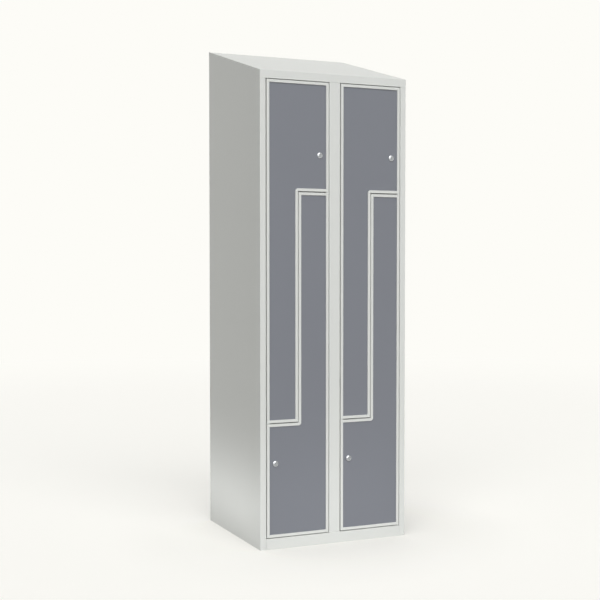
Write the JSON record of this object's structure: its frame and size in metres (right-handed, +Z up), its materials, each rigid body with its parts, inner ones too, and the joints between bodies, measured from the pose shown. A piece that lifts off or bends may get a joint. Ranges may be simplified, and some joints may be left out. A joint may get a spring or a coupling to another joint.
{
  "type": "z locker",
  "caption": "Free-standing sheet-steel Z locker with a sloping top and interlocking L-shaped hinged doors, each with a quarter-turn cam lock.",
  "frame": {"origin": "middle of the rectangle the cabinet stands on, at floor level", "axes": "+X to the right seen from the front, +Y towards the back, +Z up; the doors face -Y"},
  "size_m": [0.6, 0.55, 1.8995],
  "materials": {
    "light_grey_paint": "fine-textured light grey powder coat, satin",
    "dark_grey_paint": "fine-textured dark grey powder coat, satin",
    "chrome": "polished chrome plate",
    "zinc_plated_steel": "dull zinc plate",
    "black_rubber": "matte"
  },
  "bodies": {
    "cabinet": {"left_side_panel": "light_grey_paint", "right_side_panel": "light_grey_paint", "back_panel": "light_grey_paint", "sloping_roof": "light_grey_paint", "ceiling_panel": "light_grey_paint", "floor_panel": "light_grey_paint", "centre_partition": "light_grey_paint", "centre_post": "light_grey_paint", "top_rail": "light_grey_paint", "bottom_rail": "light_grey_paint", "left_z_divider": "light_grey_paint", "right_z_divider": "light_grey_paint", "left_z_stop": "light_grey_paint", "right_z_stop": "light_grey_paint", "upper_left_coat_rail": "zinc_plated_steel", "lower_left_coat_rail": "zinc_plated_steel", "upper_right_coat_rail": "zinc_plated_steel", "lower_right_coat_rail": "zinc_plated_steel", "upper_left_pivot_bracket": "light_grey_paint", "lower_left_pivot_bracket": "light_grey_paint", "upper_right_pivot_bracket": "light_grey_paint", "lower_right_pivot_bracket": "light_grey_paint", "upper_left_door_buffer": "black_rubber", "lower_left_door_buffer": "black_rubber", "upper_right_door_buffer": "black_rubber", "lower_right_door_buffer": "black_rubber"},
    "upper_left_door": {"upper_left_door_frame": "light_grey_paint", "upper_left_door_panel": "dark_grey_paint", "upper_left_top_pin": "zinc_plated_steel", "upper_left_bottom_pin": "zinc_plated_steel", "upper_left_lock_housing": "chrome", "upper_left_lock_nut": "zinc_plated_steel"},
    "upper_left_lock": {"upper_left_lock_core": "chrome", "upper_left_lock_cam": "zinc_plated_steel"},
    "lower_left_door": {"lower_left_door_frame": "light_grey_paint", "lower_left_door_panel": "dark_grey_paint", "lower_left_top_pin": "zinc_plated_steel", "lower_left_bottom_pin": "zinc_plated_steel", "lower_left_lock_housing": "chrome", "lower_left_lock_nut": "zinc_plated_steel"},
    "lower_left_lock": {"lower_left_lock_core": "chrome", "lower_left_lock_cam": "zinc_plated_steel"},
    "upper_right_door": {"upper_right_door_frame": "light_grey_paint", "upper_right_door_panel": "dark_grey_paint", "upper_right_top_pin": "zinc_plated_steel", "upper_right_bottom_pin": "zinc_plated_steel", "upper_right_lock_housing": "chrome", "upper_right_lock_nut": "zinc_plated_steel"},
    "upper_right_lock": {"upper_right_lock_core": "chrome", "upper_right_lock_cam": "zinc_plated_steel"},
    "lower_right_door": {"lower_right_door_frame": "light_grey_paint", "lower_right_door_panel": "dark_grey_paint", "lower_right_top_pin": "zinc_plated_steel", "lower_right_bottom_pin": "zinc_plated_steel", "lower_right_lock_housing": "chrome", "lower_right_lock_nut": "zinc_plated_steel"},
    "lower_right_lock": {"lower_right_lock_core": "chrome", "lower_right_lock_cam": "zinc_plated_steel"}
  },
  "joints": [
    {"name": "upper_left_door_hinge", "type": "hinge", "parent": "cabinet", "child": "upper_left_door", "pos_m": [-0.2688, -0.2681, 0.46575], "axis": [0, 0, 1], "range_deg": [-100, 0]},
    {"name": "upper_left_lock_turn", "type": "hinge", "parent": "upper_left_door", "child": "upper_left_lock", "pos_m": [-0.0602, -0.2705, 1.449], "axis": [0, -1, 0], "range_deg": [0, 90]},
    {"name": "lower_left_door_hinge", "type": "hinge", "parent": "cabinet", "child": "lower_left_door", "pos_m": [-0.0302, -0.2681, 1.31155], "axis": [0, 0, 1], "range_deg": [0, 100]},
    {"name": "lower_left_lock_turn", "type": "hinge", "parent": "lower_left_door", "child": "lower_left_lock", "pos_m": [-0.2388, -0.2705, 0.315], "axis": [0, 1, 0], "range_deg": [0, 90]},
    {"name": "upper_right_door_hinge", "type": "hinge", "parent": "cabinet", "child": "upper_right_door", "pos_m": [0.0302, -0.2681, 0.46575], "axis": [0, 0, 1], "range_deg": [-100, 0]},
    {"name": "upper_right_lock_turn", "type": "hinge", "parent": "upper_right_door", "child": "upper_right_lock", "pos_m": [0.2388, -0.2705, 1.449], "axis": [0, -1, 0], "range_deg": [0, 90]},
    {"name": "lower_right_door_hinge", "type": "hinge", "parent": "cabinet", "child": "lower_right_door", "pos_m": [0.2688, -0.2681, 1.31155], "axis": [0, 0, 1], "range_deg": [0, 100]},
    {"name": "lower_right_lock_turn", "type": "hinge", "parent": "lower_right_door", "child": "lower_right_lock", "pos_m": [0.0602, -0.2705, 0.315], "axis": [0, 1, 0], "range_deg": [0, 90]}
  ]
}
